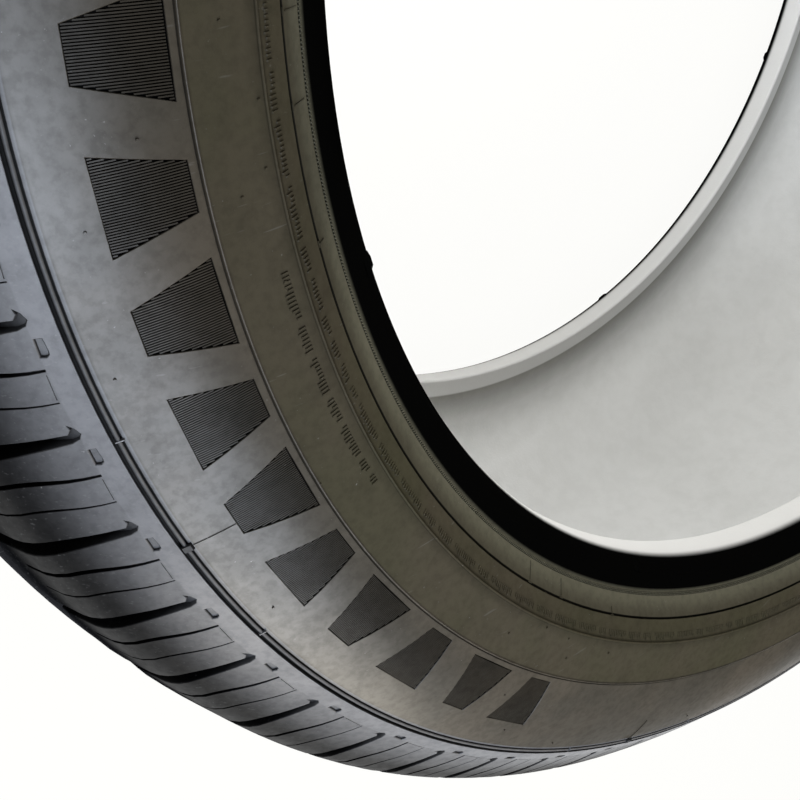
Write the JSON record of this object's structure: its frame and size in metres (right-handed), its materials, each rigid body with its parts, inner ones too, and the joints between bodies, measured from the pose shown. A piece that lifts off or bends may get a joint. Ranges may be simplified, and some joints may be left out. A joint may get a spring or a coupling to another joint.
{
  "type": "car tyre",
  "caption": "Tubeless car tyre moulded in one piece, with a grooved tread, rounded side walls, a hollow air chamber and two bead seats that grip a wheel rim.",
  "frame": {"origin": "centre of the wheel, on the axle's line and midway between the two side walls", "axes": "+Z along the axle towards the side wall that faces up; X and Y lie in the tyre's mid-plane"},
  "size_m": [0.6567, 0.6568, 0.224],
  "materials": {
    "tyre_rubber": "matte"
  },
  "bodies": {
    "root": {"tyre": "tyre_rubber"}
  },
  "joints": []
}
